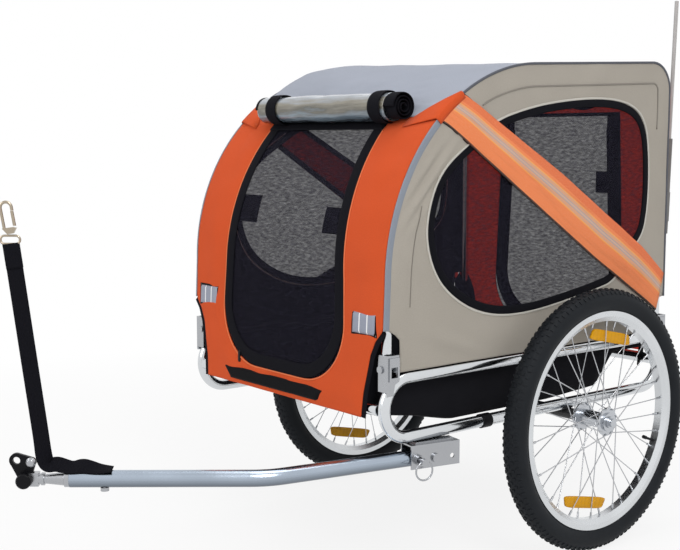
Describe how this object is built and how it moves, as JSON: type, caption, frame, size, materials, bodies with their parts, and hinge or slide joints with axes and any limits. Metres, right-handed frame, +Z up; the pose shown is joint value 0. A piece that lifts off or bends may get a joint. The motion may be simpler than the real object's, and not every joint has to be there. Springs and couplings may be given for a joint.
{
  "type": "dog bike trailer",
  "caption": "Two-wheel dog trailer for a bicycle: tube frame with folding side hoops, cloth cabin with mesh windows and doors, bent tow bar with pivoting hitch and safety strap.",
  "frame": {"origin": "middle of the object's box on the ground, on the trailer's middle plane", "axes": "+X forward towards the hitch, +Y to the trailer's left, +Z up"},
  "size_m": [1.338, 0.776, 1.0607],
  "materials": {
    "tyre": "matte",
    "inner_tube": "matte",
    "rim": "satin",
    "spokes": "bright",
    "hub": "bright",
    "amber": "prismatic",
    "tube_steel": "bright",
    "dark_steel": "satin",
    "bracket_steel": "satin",
    "black_plastic": "satin",
    "black_cloth": "woven",
    "orange_cloth": "woven",
    "taupe_cloth": "woven",
    "grey_cloth": "woven",
    "mesh": "open mesh",
    "strap_cloth": "woven",
    "clear_roll": "glossy",
    "silver_tape": "reflective",
    "tow_steel": "bright",
    "webbing": "woven",
    "nickel": "bright",
    "pole_plastic": "satin"
  },
  "bodies": {
    "frame": {"left_side_loop": "tube_steel", "right_side_loop": "tube_steel", "rail_sleeves": "black_plastic", "front_cross_tube": "tube_steel", "rear_cross_tube": "tube_steel", "axle_beam": "dark_steel", "left_axle": "hub", "right_axle": "hub", "floor_tub": "black_cloth", "front_left_bracket": "bracket_steel", "front_right_bracket": "bracket_steel", "rear_left_bracket": "bracket_steel", "rear_right_bracket": "bracket_steel", "hinge_pins": "bracket_steel", "front_panel": "orange_cloth", "roof_panel": "grey_cloth", "rear_panel": "orange_cloth", "front_roll": "clear_roll", "rear_roll": "clear_roll", "roll_straps": "webbing", "front_patches": "silver_tape", "hitch_bracket": "bracket_steel", "pivot_bolt": "bracket_steel"},
    "tow": {"tow_bar": "tow_steel", "anchor_bolt": "bracket_steel", "safety_strap": "webbing", "strap_ring": "nickel", "snap_hook": "nickel"},
    "plunger": {"lock_plunger": "bracket_steel"},
    "neck": {"hitch_neck": "bracket_steel", "hitch_pin": "black_plastic"},
    "tongue": {"hitch_tongue": "dark_steel"},
    "gate": {"snap_gate": "nickel"},
    "front_flap": {"front_door": "mesh"},
    "rear_flap": {"rear_door": "mesh"},
    "pole_rod": {"pole": "pole_plastic"},
    "left_wheel": {"left_tyre": "tyre", "left_inner_tube": "inner_tube", "left_rim": "rim", "left_spokes": "spokes", "left_hub": "hub", "left_reflectors": "amber"},
    "left_side": {"left_hoop": "tube_steel", "left_side_panel": "taupe_cloth", "left_window_mesh": "mesh", "left_diagonal_strap": "strap_cloth", "pole_socket": "black_plastic"},
    "right_wheel": {"right_tyre": "tyre", "right_inner_tube": "inner_tube", "right_rim": "rim", "right_spokes": "spokes", "right_hub": "hub", "right_reflectors": "amber"},
    "right_side": {"right_hoop": "tube_steel", "right_side_panel": "taupe_cloth", "right_window_mesh": "mesh", "right_diagonal_strap": "strap_cloth"}
  },
  "joints": [
    {"name": "left_fold", "type": "hinge", "parent": "frame", "child": "left_side", "pos_m": [-0.24068, 0.278, 0.395], "axis": [1, 0, 0], "range_deg": [0, 92.5], "deforming": ["front_panel", "roof_panel", "rear_panel", "front_door", "rear_door", "front_roll", "rear_roll", "roll_straps", "front_patches"]},
    {"name": "right_fold", "type": "hinge", "parent": "frame", "child": "right_side", "pos_m": [-0.24068, -0.278, 0.395], "axis": [-1, 0, 0], "range_deg": [0, 85], "deforming": ["front_panel", "roof_panel", "rear_panel", "front_door", "rear_door", "front_roll", "rear_roll", "roll_straps", "front_patches"]},
    {"name": "left_spin", "type": "hinge", "parent": "frame", "child": "left_wheel", "pos_m": [-0.34318, 0.35, 0.25], "axis": [0, 1, 0], "continuous": true},
    {"name": "right_spin", "type": "hinge", "parent": "frame", "child": "right_wheel", "pos_m": [-0.34318, -0.35, 0.25], "axis": [0, 1, 0], "continuous": true},
    {"name": "tow_swing", "type": "hinge", "parent": "frame", "child": "tow", "pos_m": [0.03482, 0.288, 0.232], "axis": [0.2028, 0.9792, 0], "range_deg": [0, 130]},
    {"name": "plunger_slide", "type": "slide", "parent": "frame", "child": "plunger", "axis": [-0.2028, -0.9792, 0], "range_m": [0, 0.005]},
    {"name": "neck_roll", "type": "hinge", "parent": "tow", "child": "neck", "pos_m": [0.5887, 0.02401, 0.232], "axis": [0.7804, -0.6252, 0], "range_deg": [-45, 45]},
    {"name": "tongue_pitch", "type": "hinge", "parent": "neck", "child": "tongue", "pos_m": [0.64489, -0.02101, 0.232], "axis": [0.6252, 0.7804, 0], "range_deg": [0, 40]},
    {"name": "gate_hinge", "type": "hinge", "parent": "tow", "child": "gate", "pos_m": [0.6491, -0.02438, 0.64409], "axis": [0.6252, 0.7804, 0], "range_deg": [0, 30], "stiffness_Nm_per_rad": 0.05},
    {"name": "front_flap_hinge", "type": "hinge", "parent": "frame", "child": "front_flap", "pos_m": [0.03722, 0, 0.799], "axis": [0, -1, 0], "range_deg": [0, 68]},
    {"name": "rear_flap_hinge", "type": "hinge", "parent": "frame", "child": "rear_flap", "pos_m": [-0.62238, 0, 0.799], "axis": [0, 1, 0], "range_deg": [0, 75]},
    {"name": "pole_slide", "type": "slide", "parent": "left_side", "child": "pole_rod", "axis": [-0.0401, 0, 0.9992], "range_m": [0, 0.17]}
  ]
}
